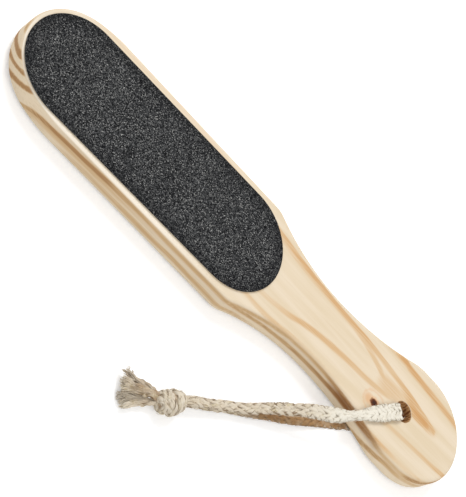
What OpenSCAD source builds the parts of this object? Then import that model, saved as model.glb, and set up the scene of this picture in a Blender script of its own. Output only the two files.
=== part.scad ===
// Wooden foot file: a flat paddle of pine with an abrasive sheet glued to each face of its
// head, and a soft cotton cord that passes through a hanging hole and is tied in a loop.
// X runs from the head to the butt, Y runs across, and Z points up. The paddle is centred
// on X = 0 and Y = 0, and the abrasive on its back lies on Z = 0.

/* [Paddle] */
// Thickness of the wood
wood_t = 11; // [7:0.5:16]
// Width of the head
head_w = 61.5; // [58:0.5:72]
// How much less than half the head's width the tip's radius is
tip_ease = 1.25; // [0.5:0.25:5]
// Radius of the curve that leads from the tip into the straight sides
cheek_r = 60; // [45:1:90]
// Distance from the head's tip to the shoulders, where the straight sides end
shoulder_x = 136; // [110:1:150]
// Radius of the rounded shoulders
shoulder_r = 11.5; // [6:0.5:16]
// Width of the neck at its narrowest place
neck_w = 37; // [28:0.5:46]
// Distance from the shoulders to the narrowest place of the neck
neck_run = 51.5; // [42:0.5:70]
// Distance from the narrowest place of the neck to the straight sides of the butt
grip_run = 56.75; // [45:0.25:80]
// Width of the butt
butt_w = 55.5; // [50:0.5:62]
// Straight stretch of the butt's sides before the round end
butt_run = 6; // [2:0.5:14]
// Rounding of the edges between the faces and the sides
edge_r = 2; // [0.5:0.25:3]

/* [Hanging hole] */
// Diameter of the hole
hole_d = 10; // [9.6:0.1:13]
// Distance from the butt's end to the middle of the hole
hole_inset = 37; // [28:0.5:44]
// Offset of the hole from the middle line
hole_shift = -1.3; // [-3:0.1:3]

/* [Abrasive sheets] */
// Bare wood between the head's tip and the sheet
tip_margin = 2; // [1.5:0.25:8]
// Bare wood along each side of the head, beside the sheet
side_margin = 4.25; // [2:0.25:10]
// How far the end of the sheet reaches past the shoulders
sheet_past = 16; // [4:1:18]
// Offset of the front sheet from the middle line
front_shift = -1; // [-2:0.25:2]
// Turn of the front sheet from the middle line, in degrees
front_turn = 0.6; // [-1:0.1:1]
// Thickness of the glue film
glue_t = 0.15; // [0.1:0.05:0.3]
// Thickness of the cloth backing
backing_t = 0.3; // [0.2:0.05:0.6]
// Thickness of the bonded coat of grit
grit_t = 0.45; // [0.3:0.05:0.9]

/* [Knot] */
// Diameter of the knot over its wraps
knot_d = 10.6; // [9:0.2:14]
// Number of wraps that show on the knot
wraps = 3; // [2:1:4]
// Distance from one wrap to the next
wrap_pitch = 3.6; // [3:0.1:3.9]
// Thickness of one wrap
wrap_t = 4.6; // [4:0.1:5.4]
// Diameter of the knot's flat ends, where the cord goes in and out
knot_mouth_d = 7.6; // [7.2:0.1:8.6]
// How much of the knot's round underside is pressed flat on the table
knot_flat = 0.5; // [0.2:0.1:1]

/* [Hidden] */
$fn = 96;

pine = [0.92, 0.85, 0.74];
glue = [0.72, 0.66, 0.5];
cloth = [0.35, 0.33, 0.3];
coarse_black = [0.21, 0.22, 0.23];
fine_grey = [0.33, 0.33, 0.35];
cotton = [0.9, 0.88, 0.83];

// The sheets and the faces of the wood, stacked up from the table
sheet_t = glue_t + backing_t + grit_t;
wood_z = sheet_t;
face_z = wood_z + wood_t;
overrun = 1;

// The paddle's outline in arcs, measured from the head's tip. Each arc is tangent to the next.
head_half = head_w / 2;
neck_half = neck_w / 2;
butt_half = butt_w / 2;
neck_x = shoulder_x + neck_run;
butt_x = neck_x + grip_run;
paddle_len = butt_x + butt_run + butt_half;
hole_x = paddle_len / 2 - hole_inset;
sheet_len = shoulder_x + sheet_past - tip_margin;
sheet_w = head_w - 2 * side_margin;
sheet_x = tip_margin + sheet_len / 2 - paddle_len / 2;
tip_r = head_half - tip_ease;
cheek_x = tip_r + sqrt(pow(cheek_r - tip_r, 2) - pow(cheek_r - head_half, 2));
cheek_y = head_half - cheek_r;
cheek_from = atan2(-cheek_y, tip_r - cheek_x);
shoulder_y = head_half - shoulder_r;
waist_drop = neck_half - shoulder_y;
waist_r = (pow(neck_run, 2) + pow(waist_drop, 2) - pow(shoulder_r, 2)) / (2 * (head_half - neck_half));
shoulder_to = atan2(waist_drop + waist_r, neck_run);
grip_r = (pow(grip_run, 2) + pow(neck_half, 2) - pow(butt_half, 2)) / (2 * (butt_half - neck_half));
butt_from = atan2(neck_half + grip_r, -grip_run);

// Steps along each arc of the outline and round its edge
tip_steps = 18;
cheek_steps = 4;
shoulder_steps = 5;
hollow_steps = 9;
butt_steps = 4;
end_steps = 15;
edge_steps = 4;

// The cord's two strands, from inside the hole to the knot. Each row is a place on the
// route, measured from the hole's axis and the table, then the width and the thickness that
// the soft cord is pressed to there.
front_route = [
    [-1.5, -1.6, 6.4, 7.4, 2.2],
    [-1.5, -1.6, 10.9, 7.4, 2.2],
    [-1.7, -1.8, 12.1, 7.4, 2.1],
    [-2.3, -2.4, 12.95, 7.8, 2],
    [-3.5, -3.6, 13.25, 8.4, 1.9],
    [-6.5, -6.7, 13.2, 8.6, 1.8],
    [-11, -11.5, 13.2, 8.6, 1.8],
    [-16, -16.7, 13.2, 8.6, 1.8],
    [-20.5, -21.4, 13.2, 8.3, 1.85],
    [-25.6, -26.4, 13.2, 7.6, 1.95],
    [-30.8, -30.9, 12.8, 7, 2.1],
    [-35.8, -34.2, 12.1, 6.6, 2.2],
    [-41, -37.3, 11.2, 6.3, 2.3],
    [-45.6, -40.3, 10.1, 6, 2.4],
    [-50, -43.6, 8.9, 5.8, 2.5],
    [-54.6, -47, 7.7, 5.5, 2.5],
    [-59, -50.4, 6.5, 5.2, 2.5],
    [-63.1, -53.9, 5.3, 5, 2.4],
    [-67, -57.2, 4.5, 4.8, 2.3],
    [-71.5, -60.5, 4.2, 4.7, 2.3],
    [-76.3, -64.1, 4.2, 4.6, 2.3],
    [-81.2, -67.9, 4.4, 4.4, 2.3],
    [-86, -71.5, 5, 4.3, 2.3],
    [-90.1, -74.7, 5.8, 4.3, 2.3]
];
back_route = [
    [-1.5, -1.6, 6.4, 7.4, 2.2],
    [-1.5, -1.6, 2.8, 7.4, 2],
    [-1.7, -1.8, 1.6, 7, 1.4],
    [-2.1, -2.2, 0.75, 7, 0.8],
    [-3, -3.1, 0.33, 7.8, 0.58],
    [-5.5, -5.8, 0.31, 8.4, 0.58],
    [-10.5, -11.9, 0.31, 8.4, 0.58],
    [-15.8, -18, 0.31, 8.4, 0.58],
    [-21, -23, 0.31, 8.2, 0.58],
    [-26.4, -27.6, 0.31, 7.8, 0.58],
    [-31.6, -31.4, 0.75, 7, 1.3],
    [-36.4, -35, 1.15, 6.2, 2],
    [-42.7, -39.8, 1.35, 5.8, 2.3],
    [-49.7, -45, 1.35, 5.4, 2.4],
    [-56.9, -50.3, 1.35, 5.1, 2.4],
    [-62.6, -54.6, 1.35, 4.9, 2.4],
    [-67.1, -57.7, 1.3, 4.8, 2.3],
    [-71.7, -60.6, 1.3, 4.7, 2.3],
    [-76.4, -64.2, 1.35, 4.6, 2.3],
    [-81.2, -67.9, 1.6, 4.4, 2.3],
    [-86, -71.5, 2.2, 4.3, 2.3],
    [-90.1, -74.7, 3, 4.3, 2.3]
];
// The two ends of the cord past the knot, fanned out where they are frayed
upper_tail_route = [
    [-106, -86.3, 5.8, 3.2, 3.7],
    [-108.9, -86.6, 5.6, 3.9, 3.6],
    [-112.1, -87.5, 5.3, 5.5, 3.4],
    [-115.4, -88.7, 4.7, 6.9, 3.2],
    [-118.7, -89.8, 3.9, 8.2, 2.8],
    [-121.6, -90.9, 3.1, 8.9, 2.4]
];
lower_tail_route = [
    [-105.4, -88.9, 2.9, 2.8, 2.6],
    [-108.1, -90.7, 2.3, 4, 2.4],
    [-110.7, -92.7, 2, 5.5, 2.3],
    [-113.9, -95.3, 1.7, 7.2, 2.3],
    [-117.4, -97.4, 1.4, 7.3, 2.2]
];
cord_sides = 12;
upright_lean_share = 0.5;

// The cord leaves the hole along this heading, and the knot's axis has a heading of its own
hole_heading = 226;
knot_heading = 229;
knot_at = [-98.2, -82.8, knot_d / 2 - knot_flat];
knot_len = (wraps - 1) * wrap_pitch + wrap_t;
knot_axis = heading_dir(knot_heading);
knot_side = heading_side(knot_heading);
// The strands lie one above the other in the knot's mouth, and the tails side by side
strand_end_w = 4.3;
strand_end_t = 2.3;
strand_end_rise = 1.4;
tail_end_w = 2.9;
tail_end_t = 3.4;
tail_end_rise = 0.7;
upper_tail_out = -2.2;
lower_tail_out = 0.9;

function heading_dir(a) = [cos(a), sin(a), 0];
function heading_side(a) = [-sin(a), cos(a), 0];
function unit(v) = v / norm(v);
function place(row) = [row[0], row[1], row[2]];
function knot_row(along, out, rise, w, t) =
    let (p = knot_at + knot_axis * along * knot_len / 2 + knot_side * out)
    [p.x, p.y, p.z + rise, w, t];

// The cord's direction at each row of a route, and the level line across it
function route_dirs(rows, first, last) = [
    for (i = [0 : len(rows) - 1])
        i == 0 ? first : i == len(rows) - 1 ? last : unit(place(rows[i + 1]) - place(rows[i - 1]))
];
function across(dir) =
    norm([dir.x, dir.y]) < upright_lean_share
        ? heading_side(hole_heading)
        : unit([-dir.y, dir.x, 0]);
function ring(row, dir) =
    let (side = across(dir), up = unit(cross(dir, side)))
    [
        for (k = [0 : cord_sides - 1])
            let (a = 360 * k / cord_sides)
            place(row) + side * cos(a) * row[3] / 2 + up * sin(a) * row[4] / 2
    ];

// One closed tube of triangles along a route, oval in section
module soft_cord(rows, first, last) {
    dirs = route_dirs(rows, first, last);
    n = cord_sides;
    last_ring = (len(rows) - 1) * n;
    points = [for (i = [0 : len(rows) - 1]) each ring(rows[i], dirs[i])];
    walls = [
        for (i = [0 : len(rows) - 2])
            for (k = [0 : n - 1])
                let (a = i * n + k, b = i * n + (k + 1) % n)
                each [[a, b + n, b], [a, a + n, b + n]]
    ];
    start = [for (k = [1 : n - 2]) [0, k, k + 1]];
    end = [for (k = [1 : n - 2]) [last_ring, last_ring + k + 1, last_ring + k]];
    polyhedron(points = points, faces = concat(walls, start, end));
}

// Points along an arc, at even angles, with its last point left to the next stretch
function arc(centre, r, from, to, steps) = [
    for (i = [0 : steps - 1])
        let (a = from + (to - from) * i / steps)
        centre + [cos(a), sin(a)] * r
];

// One side of the outline from the head's tip to the butt's end, moved in by the given inset
function upper_side(inset) = concat(
    arc([tip_r, 0], tip_r - inset, 180, cheek_from, tip_steps),
    arc([cheek_x, cheek_y], cheek_r - inset, cheek_from, 90, cheek_steps),
    [[cheek_x, head_half - inset]],
    arc([shoulder_x, shoulder_y], shoulder_r - inset, 90, shoulder_to, shoulder_steps),
    arc([neck_x, neck_half + waist_r], waist_r + inset, 180 + shoulder_to, 270, hollow_steps),
    arc([neck_x, neck_half + grip_r], grip_r + inset, 270, 180 + butt_from, hollow_steps),
    arc([butt_x, 0], butt_half - inset, butt_from, 90, butt_steps),
    arc([butt_x + butt_run, 0], butt_half - inset, 90, 0, end_steps),
    [[paddle_len - inset, 0]]
);

// The whole outline, with the other side as a mirror image
function outline(inset) =
    let (upper = upper_side(inset))
    concat(upper, [for (i = [len(upper) - 2 : -1 : 1]) [upper[i].x, -upper[i].y]]);

// Inset and height of each ring of the rounded edge, from the lower face to the upper one
function edge_levels() = [
    for (top = [0, 1])
        for (i = [0 : edge_steps])
            let (a = 90 * (top == 0 ? i : edge_steps - i) / edge_steps)
            let (rise = edge_r * (1 - cos(a)))
            [edge_r * (1 - sin(a)), top == 0 ? rise : wood_t - rise]
];

// The board as one closed skin: a ring of the outline at each level, and the two flat faces
module board() {
    levels = edge_levels();
    n = len(outline(0));
    points = [
        for (level = levels)
            for (p = outline(level[0]))
                [p.x, p.y, level[1]]
    ];
    walls = [
        for (i = [0 : len(levels) - 2])
            for (k = [0 : n - 1])
                let (a = i * n + k, b = i * n + (k + 1) % n)
                each [[a, b, b + n], [a, b + n, a + n]]
    ];
    lower_face = [for (k = [0 : n - 1]) k];
    upper_face = [for (k = [n - 1 : -1 : 0]) (len(levels) - 1) * n + k];
    polyhedron(points = points, faces = concat(walls, [lower_face, upper_face]));
}

module wooden_paddle() {
    color(pine)
        translate([-paddle_len / 2, 0, wood_z])
            difference() {
                board();
                translate([paddle_len - hole_inset, hole_shift, -overrun])
                    cylinder(d = hole_d, h = wood_t + 2 * overrun);
            }
}

// One layer of an abrasive sheet, long with round ends
module sheet_layer(z, t, shift, turn) {
    reach = (sheet_len - sheet_w) / 2;
    translate([sheet_x, shift, z])
        rotate([0, 0, turn])
            linear_extrude(t) {
                square([2 * reach, sheet_w], center = true);
                for (end = [-1, 1])
                    translate([end * reach, 0]) circle(d = sheet_w);
            }
}

module front_glue() {
    color(glue) sheet_layer(face_z, glue_t, front_shift, front_turn);
}

module front_backing() {
    color(cloth) sheet_layer(face_z + glue_t, backing_t, front_shift, front_turn);
}

module front_grit() {
    color(coarse_black) sheet_layer(face_z + glue_t + backing_t, grit_t, front_shift, front_turn);
}

module back_glue() {
    color(glue) sheet_layer(grit_t + backing_t, glue_t, 0, 0);
}

module back_backing() {
    color(cloth) sheet_layer(grit_t, backing_t, 0, 0);
}

module back_grit() {
    color(fine_grey) sheet_layer(0, grit_t, 0, 0);
}

// The cord follows the hole that it goes through
module at_hole() {
    translate([hole_x, hole_shift, 0]) children();
}

module cord_front_strand() {
    knot_end = knot_row(-1, 0, strand_end_rise, strand_end_w, strand_end_t);
    color(cotton) at_hole() soft_cord(concat(front_route, [knot_end]), [0, 0, 1], knot_axis);
}

module cord_back_strand() {
    knot_end = knot_row(-1, 0, -strand_end_rise, strand_end_w, strand_end_t);
    color(cotton) at_hole() soft_cord(concat(back_route, [knot_end]), [0, 0, -1], knot_axis);
}

// The knot lies along its heading: a core with round wraps, flat where it meets the table
module cord_knot() {
    color(cotton)
        at_hole()
            difference() {
                translate(knot_at)
                    rotate([0, 90, knot_heading])
                        rotate_extrude() {
                            translate([0, -knot_len / 2]) square([knot_mouth_d / 2, knot_len]);
                            for (i = [0 : wraps - 1])
                                translate([(knot_d - wrap_t) / 2, (i - (wraps - 1) / 2) * wrap_pitch])
                                    circle(d = wrap_t);
                        }
                translate([knot_at.x, knot_at.y, -knot_d / 2])
                    cube([2 * knot_len, 2 * knot_len, knot_d], center = true);
            }
}

module cord_upper_tail() {
    knot_end = knot_row(1, upper_tail_out, tail_end_rise, tail_end_w, tail_end_t);
    route = concat([knot_end], upper_tail_route);
    color(cotton) at_hole() soft_cord(route, knot_axis, tail_dir(route));
}

module cord_lower_tail() {
    knot_end = knot_row(1, lower_tail_out, -tail_end_rise, tail_end_w, tail_end_t);
    route = concat([knot_end], lower_tail_route);
    color(cotton) at_hole() soft_cord(route, knot_axis, tail_dir(route));
}

function tail_dir(route) =
    unit(place(route[len(route) - 1]) - place(route[len(route) - 2]));

wooden_paddle();
front_glue();
front_backing();
front_grit();
back_glue();
back_backing();
back_grit();
cord_front_strand();
cord_back_strand();
cord_knot();
cord_upper_tail();
cord_lower_tail();
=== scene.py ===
import math

import bmesh
import bpy
import numpy as np
from mathutils import Matrix, Vector


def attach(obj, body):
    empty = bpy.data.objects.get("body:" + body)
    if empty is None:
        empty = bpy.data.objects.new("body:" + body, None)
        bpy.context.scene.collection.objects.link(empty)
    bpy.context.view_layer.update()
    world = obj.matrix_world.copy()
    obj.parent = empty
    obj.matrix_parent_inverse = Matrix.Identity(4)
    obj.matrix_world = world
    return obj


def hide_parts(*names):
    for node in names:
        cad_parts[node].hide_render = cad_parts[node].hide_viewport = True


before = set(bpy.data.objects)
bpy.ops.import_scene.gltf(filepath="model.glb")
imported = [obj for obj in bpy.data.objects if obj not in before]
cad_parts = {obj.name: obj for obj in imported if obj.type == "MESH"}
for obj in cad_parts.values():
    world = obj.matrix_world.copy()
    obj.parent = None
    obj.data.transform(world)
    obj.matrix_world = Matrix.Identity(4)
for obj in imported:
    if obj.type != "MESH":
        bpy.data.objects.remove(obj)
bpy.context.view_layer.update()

# Sizes are in millimetres, and become metres where a mesh or an object is made
MM = 0.001

# The board and its sheets, as in the frame: X from head to butt, Z up from the table
BOARD_LENGTH = 278.0
BOARD_THICK = 11.0
SHEET_THICK = 0.9
FACE_Z = SHEET_THICK + BOARD_THICK
HOLE = np.array([102.0, -1.3])
HOLE_RADIUS = 5.0

# The camera, fitted to the outlines of the board and of the sheet in the photograph
FOCAL_PX = 1445.75
IMAGE_HEIGHT = 497
SENSOR = 36.0
CAMERA_AZIMUTH = math.radians(-23.203)
CAMERA_TILT = math.radians(90 - 44.589)
CAMERA_ROLL = math.radians(62.943)
CAMERA_TARGET = Vector((-6.631, 2.71, 0.9)) * MM
CAMERA_DISTANCE = 637.37 * MM


def add_object(name, data):
    thing = bpy.data.objects.new(name, data)
    bpy.context.scene.collection.objects.link(thing)
    return thing


def make_camera():
    data = bpy.data.cameras.new("camera")
    data.sensor_width = SENSOR
    data.lens = FOCAL_PX * SENSOR / IMAGE_HEIGHT
    data.clip_start = 0.01
    data.clip_end = 20.0
    camera = add_object("camera", data)
    turn = Matrix.Rotation(CAMERA_AZIMUTH, 4, "Z") @ Matrix.Rotation(CAMERA_TILT, 4, "X")
    turn = turn @ Matrix.Rotation(CAMERA_ROLL, 4, "Z")
    back = Matrix.Translation((0, 0, CAMERA_DISTANCE))
    camera.matrix_world = Matrix.Translation(CAMERA_TARGET) @ turn @ back
    bpy.context.scene.camera = camera


make_camera()


# Node helpers

def new_material(name):
    material = bpy.data.materials.new(name)
    material.use_nodes = True
    return material, Nodes(material.node_tree)


class Nodes:
    """Adds nodes to one tree. A value may be a number, a colour or another node's output."""

    def __init__(self, tree):
        self.tree = tree
        self.shader = tree.nodes.get("Principled BSDF")

    def add(self, kind, inputs=(), **settings):
        node = self.tree.nodes.new(kind)
        for key, value in settings.items():
            setattr(node, key, value)
        for key, value in dict(inputs).items():
            self.put(node.inputs[key], value)
        return node

    def put(self, socket, value):
        if isinstance(value, bpy.types.NodeSocket):
            self.tree.links.new(value, socket)
        else:
            socket.default_value = value

    def maths(self, operation, *values):
        return self.add("ShaderNodeMath", enumerate(values), operation=operation).outputs[0]

    def times(self, first, second):
        return self.maths("MULTIPLY", first, second)

    def leaning(self, value, other, share):
        """A value plus a share of another."""
        return self.maths("MULTIPLY_ADD", other, share, value)

    def highest(self, first, *others):
        for other in others:
            first = self.maths("MAXIMUM", first, other)
        return first

    def ramp(self, value, from_low, from_high, to_low=0.0, to_high=1.0):
        """A smooth change from one number to another while the value runs between two places."""
        names = ("Value", "From Min", "From Max", "To Min", "To Max")
        inputs = zip(names, (value, from_low, from_high, to_low, to_high))
        return self.add("ShaderNodeMapRange", inputs, interpolation_type="SMOOTHSTEP").outputs[0]

    def mix(self, share, first, second):
        inputs = {0: share, 6: first, 7: second}
        return self.add("ShaderNodeMix", inputs, data_type="RGBA").outputs[2]

    def over(self, shade, *layers):
        """A shade under layers of colour, each with the share by which it covers those below."""
        for share, layer in layers:
            shade = self.mix(share, shade, layer)
        return shade

    def attribute(self, name):
        return self.add("ShaderNodeAttribute", attribute_name=name).outputs["Fac"]

    def vector_maths(self, operation, *vectors):
        return self.add("ShaderNodeVectorMath", enumerate(vectors), operation=operation).outputs

    def scaled(self, vector, scale):
        return self.vector_maths("MULTIPLY", vector, scale)[0]

    def place_mm(self):
        """The place on the object in millimetres, as a vector."""
        return self.scaled(self.add("ShaderNodeTexCoord").outputs["Object"], (1 / MM, 1 / MM, 1 / MM))

    def split(self, vector):
        return self.add("ShaderNodeSeparateXYZ", {0: vector}).outputs[0:3]

    def away(self, place, centre, stretch=1.0):
        """The level distance from an upright line, with X counted at a share of its length."""
        offset = self.vector_maths("SUBTRACT", place, (*centre, 0.0))[0]
        return self.vector_maths("LENGTH", self.scaled(offset, (stretch, 1.0, 0.0)))["Value"]

    def noise(self, place, scale, detail=2.0, roughness=0.5):
        """Noise with so many bumps a millimetre, as one number or as one for each axis."""
        if isinstance(scale, tuple):
            place, scale = self.scaled(place, scale), 1.0
        inputs = {"Vector": place, "Scale": scale, "Detail": detail, "Roughness": roughness}
        return self.add("ShaderNodeTexNoise", inputs).outputs["Fac"]

    def curve(self, value, points):
        """The height, at a value, of a smooth line through the points."""
        first, last = points[0][0], points[-1][0]
        heights = [height for _, height in points]
        lowest = min(heights)
        reach = max(max(heights) - lowest, 0.001)
        inputs = {"Value": value, "From Min": first, "From Max": last}
        share = self.add("ShaderNodeMapRange", inputs).outputs[0]
        node = self.add("ShaderNodeFloatCurve", {"Value": share})
        line = node.mapping.curves[0]
        places = [((at - first) / (last - first), (height - lowest) / reach) for at, height in points]
        line.points[0].location = places[0]
        line.points[-1].location = places[-1]
        for place in places[1:-1]:
            line.points.new(*place)
        for point in line.points:
            point.handle_type = "AUTO_CLAMPED"
        node.mapping.update()
        return self.maths("MULTIPLY_ADD", node.outputs[0], reach, lowest)

    def stroke(self, along, across, line, weights, low, high):
        """A soft band that follows a line. It fades from a quarter of its reach on each side."""
        offset = self.maths("SUBTRACT", across, self.curve(along, line))
        rise = self.ramp(offset, -low, -low / 4)
        fall = self.ramp(offset, high / 4, high, 1.0, 0.0)
        return self.times(self.times(rise, fall), self.curve(along, weights))

    def strokes(self, along, across, table):
        return self.highest(*[self.stroke(along, across, *row) for row in table])

    def ring(self, value, at, inner, outer):
        """A soft ring where a value passes a given one."""
        return self.times(self.ramp(value, at - inner, at), self.ramp(value, at, at + outer, 1.0, 0.0))

    def bump(self, height, depth_mm, strength=1.0):
        inputs = {"Height": height, "Distance": depth_mm * MM, "Strength": strength}
        self.put(self.shader.inputs["Normal"], self.add("ShaderNodeBump", inputs).outputs[0])

    def surface(self, colour, roughness, specular, sheen=0.0):
        self.put(self.shader.inputs["Base Color"], colour)
        self.put(self.shader.inputs["Roughness"], roughness)
        self.shader.inputs["Specular IOR Level"].default_value = specular
        self.shader.inputs["Sheen Weight"].default_value = sheen


def colour(red, green, blue):
    """A colour given as it looks on the screen, from 0 to 255."""
    def linear(value):
        share = value / 255
        return share / 12.92 if share <= 0.04045 else ((share + 0.055) / 1.055) ** 2.4
    return (linear(red), linear(green), linear(blue), 1.0)


# Mesh helpers

def place_piece(name, mesh, material, body, node):
    """Puts a mesh in the scene, on its body and in place of its node of the frame."""
    piece = add_object(name, mesh)
    mesh.materials.append(material)
    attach(piece, body)
    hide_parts(node)
    return piece


def unit(vectors):
    return vectors / np.maximum(np.linalg.norm(vectors, axis=-1, keepdims=True), 1e-9)


def fade(value, start, end):
    """0 before the start, 1 past the end, and even steps between. The end may be the lower one."""
    return np.clip((value - start) / (end - start), 0, 1)


def circle(count):
    return np.arange(count) * 2 * math.pi / count


def level_axes(heading):
    """The line along a level heading, the line to its left, and the line up."""
    along, aside = math.cos(heading), math.sin(heading)
    return np.array([[along, aside, 0.0], [-aside, along, 0.0], [0.0, 0.0, 1.0]])


class Cotton:
    """Gathers cotton tubes in millimetres, with the numbers that their material reads."""

    def __init__(self):
        self.points = []
        self.faces = []
        self.values = {"depth": [], "tint": [], "warm": [], "stain": []}
        self.count = 0

    def tube(self, centres, sides, ups, half_widths, half_heights, corners, **values):
        """Adds a closed tube with oval rings. A value is one number, or one for each ring or point."""
        steps = len(centres)
        sides, ups = np.broadcast_to(sides, centres.shape), np.broadcast_to(ups, centres.shape)
        angles = circle(corners)[None, :, None]
        across = np.cos(angles) * half_widths[:, None, None] * sides[:, None, :]
        along = np.sin(angles) * half_heights[:, None, None] * ups[:, None, :]
        self.points.append((centres[:, None, :] + across + along).reshape(-1, 3))
        rings = self.count + np.arange(steps * corners).reshape(steps, corners)
        low, high = rings[:-1], rings[1:]
        walls = np.stack([low, np.roll(low, -1, axis=1), np.roll(high, -1, axis=1), high], axis=2)
        faces = walls.reshape(-1, 4).tolist() + [rings[0, ::-1].tolist(), rings[-1].tolist()]
        if np.dot(np.cross(sides[0], ups[0]), centres[1] - centres[0]) < 0:
            faces = [face[::-1] for face in faces]
        self.faces.extend(faces)
        self.count += rings.size
        for name, value in values.items():
            value = np.repeat(value, corners) if np.size(value) == steps else value
            self.values[name].append(np.broadcast_to(value, rings.size))

    def piece(self, name, node):
        mesh = bpy.data.meshes.new(name)
        points = np.vstack(self.points)
        # Soft cord that lies on the table is pressed flat there
        points[:, 2] = np.maximum(points[:, 2], 0.0)
        mesh.from_pydata((points * MM).tolist(), [], self.faces)
        for attribute, parts in self.values.items():
            layer = mesh.attributes.new(attribute, "FLOAT", "POINT")
            layer.data.foreach_set("value", np.concatenate(parts).astype(np.float32))
        mesh.polygons.foreach_set("use_smooth", [True] * len(mesh.polygons))
        mesh.update()
        return place_piece(name, mesh, cotton, "hang_loop", node)


# The cord. Each row is a place of the part's own route, measured from the hole's axis and the
# table, then the width and the thickness that the soft cord is pressed to there.
FRONT_ROUTE = [
    [-1.8, -1.9, 6.4, 7.4, 2.2],
    [-1.8, -1.9, 10.9, 7.4, 2.2],
    [-2, -2.1, 12.1, 7.6, 2.1],
    [-2.6, -2.7, 12.95, 8, 2],
    [-3.8, -3.9, 13.25, 8.6, 1.9],
    [-6.5, -6.7, 13.2, 8, 1.8],
    [-11, -11.5, 13.2, 8, 1.8],
    [-16, -16.7, 13.2, 6.8, 2],
    [-20.5, -21.4, 13.2, 5, 2.5],
    [-25.6, -26.4, 13.2, 5.2, 2.5],
    [-30.8, -30.9, 12.8, 6.8, 2.3],
    [-35.8, -34.2, 12.1, 7.2, 2.2],
    [-41, -37.3, 11.2, 6.8, 2.3],
    [-45.6, -40.3, 10.1, 6, 2.4],
    [-50, -43.6, 8.9, 5.8, 2.5],
    [-54.6, -47, 7.7, 5.5, 2.5],
    [-59, -50.4, 6.5, 5.2, 2.5],
    [-63.1, -53.9, 5.3, 5, 2.4],
    [-67, -57.2, 4.5, 4.8, 2.3],
    [-71.5, -60.5, 4.2, 4.7, 2.3],
    [-76.3, -64.1, 4.2, 4.6, 2.3],
    [-81.2, -67.9, 4.4, 4.4, 2.3],
    [-86, -71.5, 5, 4.3, 2.3],
    [-90.1, -74.7, 5.8, 4.3, 2.3],
]
BACK_ROUTE = [
    [-1.5, -1.6, 6.4, 7.4, 2.2],
    [-1.5, -1.6, 2.8, 7.4, 2],
    [-1.7, -1.8, 1.6, 7, 1.4],
    [-2.1, -2.2, 0.75, 7, 0.8],
    [-3, -3.1, 0.33, 7.8, 0.58],
    [-5.5, -5.8, 0.31, 8.4, 0.58],
    [-10.5, -11.9, 0.31, 7.6, 0.58],
    [-15.8, -18, 0.31, 5.8, 0.58],
    [-21.1, -22.8, 0.31, 5, 0.58],
    [-26.8, -27.1, 0.31, 5.2, 0.58],
    [-31.8, -31.2, 0.75, 5.3, 1.3],
    [-36.3, -35.1, 1.15, 5.3, 2],
    [-42.3, -40.2, 1.35, 5.2, 2.3],
    [-49.4, -45.3, 1.35, 5.1, 2.4],
    [-56.9, -50.3, 1.35, 5.1, 2.4],
    [-62.6, -54.6, 1.35, 4.9, 2.4],
    [-67.1, -57.7, 1.3, 4.8, 2.3],
    [-71.7, -60.6, 1.3, 4.7, 2.3],
    [-76.4, -64.2, 1.35, 4.6, 2.3],
    [-81.2, -67.9, 1.6, 4.4, 2.3],
    [-86, -71.5, 2.2, 4.3, 2.3],
    [-90.1, -74.7, 3, 4.3, 2.3],
]
UPPER_TAIL_ROUTE = [
    [-105.5, -85.3, 4.4, 3.6, 3.4],
    [-108.9, -86.3, 4.9, 4.4, 3.4],
    [-112.1, -87.3, 5, 6, 3.3],
    [-115.4, -88.6, 4.6, 7.3, 3.1],
    [-118.7, -89.8, 3.9, 8.2, 2.8],
    [-121.6, -90.9, 3.1, 8.9, 2.4],
]
LOWER_TAIL_ROUTE = [
    [-105.4, -88.9, 2.9, 2.8, 2.6],
    [-108.1, -90.7, 2.3, 4, 2.4],
    [-110.7, -92.7, 2, 5.5, 2.3],
    [-113.9, -95.3, 1.7, 7.2, 2.3],
    [-117.4, -97.4, 1.4, 7.3, 2.2],
]

HOLE_AT = np.array([*HOLE, 0.0])
HOLE_AXES = level_axes(math.radians(226))
# Places in the knot are along its axis towards the frayed ends, out to its side, and up
KNOT_AT = np.array([-98.2, -82.8, 4.8])
KNOT_LENGTH = 11.8
KNOT_AXES = level_axes(math.radians(229))
# The width and the thickness of the cord at the knot, and where it meets the knot's two ends
STRAND_END = (4.3, 2.3)
STRAND_END_RISE = 1.4
TAIL_END = (2.9, 3.4)
UPPER_TAIL_AT = (0.4, -3.0, -0.8)
LOWER_TAIL_AT = (0.4, -1.8, -1.6)


def knot_row(along, out, rise, section):
    """A row of a route in the knot, with its place along as a share of the knot's half length."""
    return [*(KNOT_AT + np.array([along * KNOT_LENGTH / 2, out, rise]) @ KNOT_AXES), *section]


# Steps along a route: while it is smoothed, along a strand, along a frayed end and along the path that a
# strand returns
FINE_STEP = 0.05
STRAND_STEP = 0.4
TAIL_STEP = 0.5
PATH_STEP = 2.0


def smooth_route(rows, step):
    """Rows at even steps along a smooth curve through the given rows, and the distance along it."""
    rows = np.array(rows, float)
    rows[:, :3] += HOLE_AT
    chord = np.r_[0, np.cumsum(np.linalg.norm(np.diff(rows[:, :3], axis=0), axis=1))]
    slopes = np.gradient(rows, chord, axis=0)
    fine = np.linspace(0, chord[-1], int(chord[-1] / FINE_STEP))
    i = np.clip(np.searchsorted(chord, fine, side="right") - 1, 0, len(chord) - 2)
    span = (chord[i + 1] - chord[i])[:, None]
    u = (fine - chord[i])[:, None] / span
    curve = (
        rows[i] * (2 * u**3 - 3 * u**2 + 1)
        + rows[i + 1] * (3 * u**2 - 2 * u**3)
        + slopes[i] * span * (u**3 - 2 * u**2 + u)
        + slopes[i + 1] * span * (u**3 - u**2)
    )
    distance = np.r_[0, np.cumsum(np.linalg.norm(np.diff(curve[:, :3], axis=0), axis=1))]
    even = np.linspace(0, distance[-1], max(int(distance[-1] / step), 2))
    return np.stack([np.interp(even, distance, column) for column in curve.T], axis=1), even


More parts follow.
